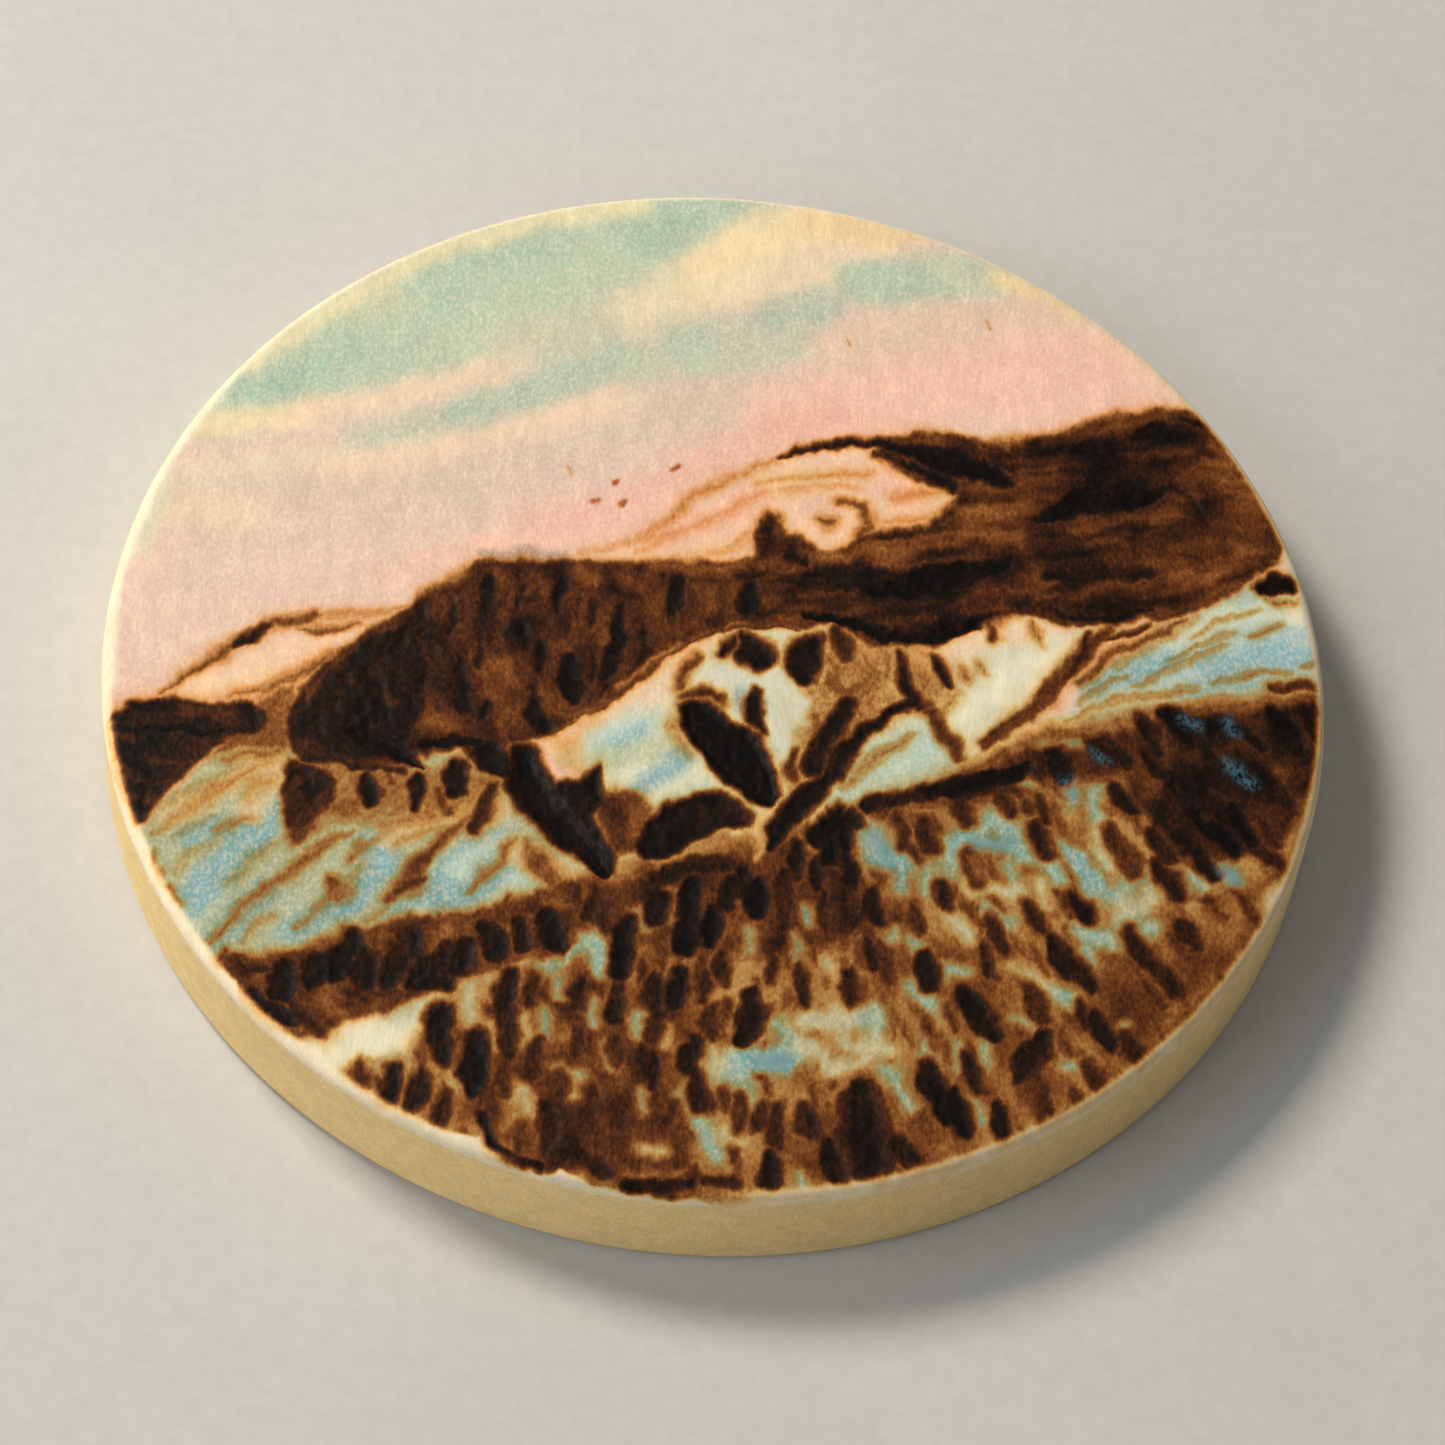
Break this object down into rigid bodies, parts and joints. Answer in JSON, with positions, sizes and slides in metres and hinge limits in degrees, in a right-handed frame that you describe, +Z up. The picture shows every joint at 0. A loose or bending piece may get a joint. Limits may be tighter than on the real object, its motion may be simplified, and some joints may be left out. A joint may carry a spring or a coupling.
{
  "type": "wood-burned landscape disc",
  "caption": "Small round wooden disc with eased edges, its flat face carrying a burned and tinted mountain landscape; a loose keepsake, token or magnet blank that lies flat.",
  "frame": {"origin": "centre of the underside, on the surface the disc lies on", "axes": "+Z up out of the picture face, +Y towards the top of the picture, +X towards its right"},
  "size_m": [0.05, 0.05, 0.005],
  "materials": {
    "bare_wood": "fine close grain, lightly sealed",
    "sky_tint": "wood tinted teal, peach and pink in soft bands",
    "snow_tint": "wood tinted cream and pale blue",
    "scorched_wood": "burned brown in overlapping dabs, satin",
    "charred_wood": "black char, finely crusted, dull sheen"
  },
  "bodies": {
    "root": {"wood_disc": "bare_wood", "sky_wash": "sky_tint", "left_ridge_line": "scorched_wood", "left_slope_wash": "sky_tint", "left_spur_burn": "scorched_wood", "near_hill_burn": "charred_wood", "hill_foot_burn": "scorched_wood", "gully_char": "charred_wood", "far_slope_line": "scorched_wood", "snow_dome_wash": "sky_tint", "far_ridge_burn": "charred_wood", "centre_snow_wash": "snow_tint", "boulder_char": "charred_wood", "spine_burn": "scorched_wood", "notch_snow_wash": "snow_tint", "shoulder_snow_wash": "snow_tint", "slope_streak_burn": "scorched_wood", "snowfield_wash": "snow_tint", "edge_dab_char": "charred_wood", "valley_wash": "snow_tint", "front_row_char": "charred_wood", "front_snow_wash": "snow_tint", "foreground_burn": "scorched_wood"}
  },
  "joints": []
}
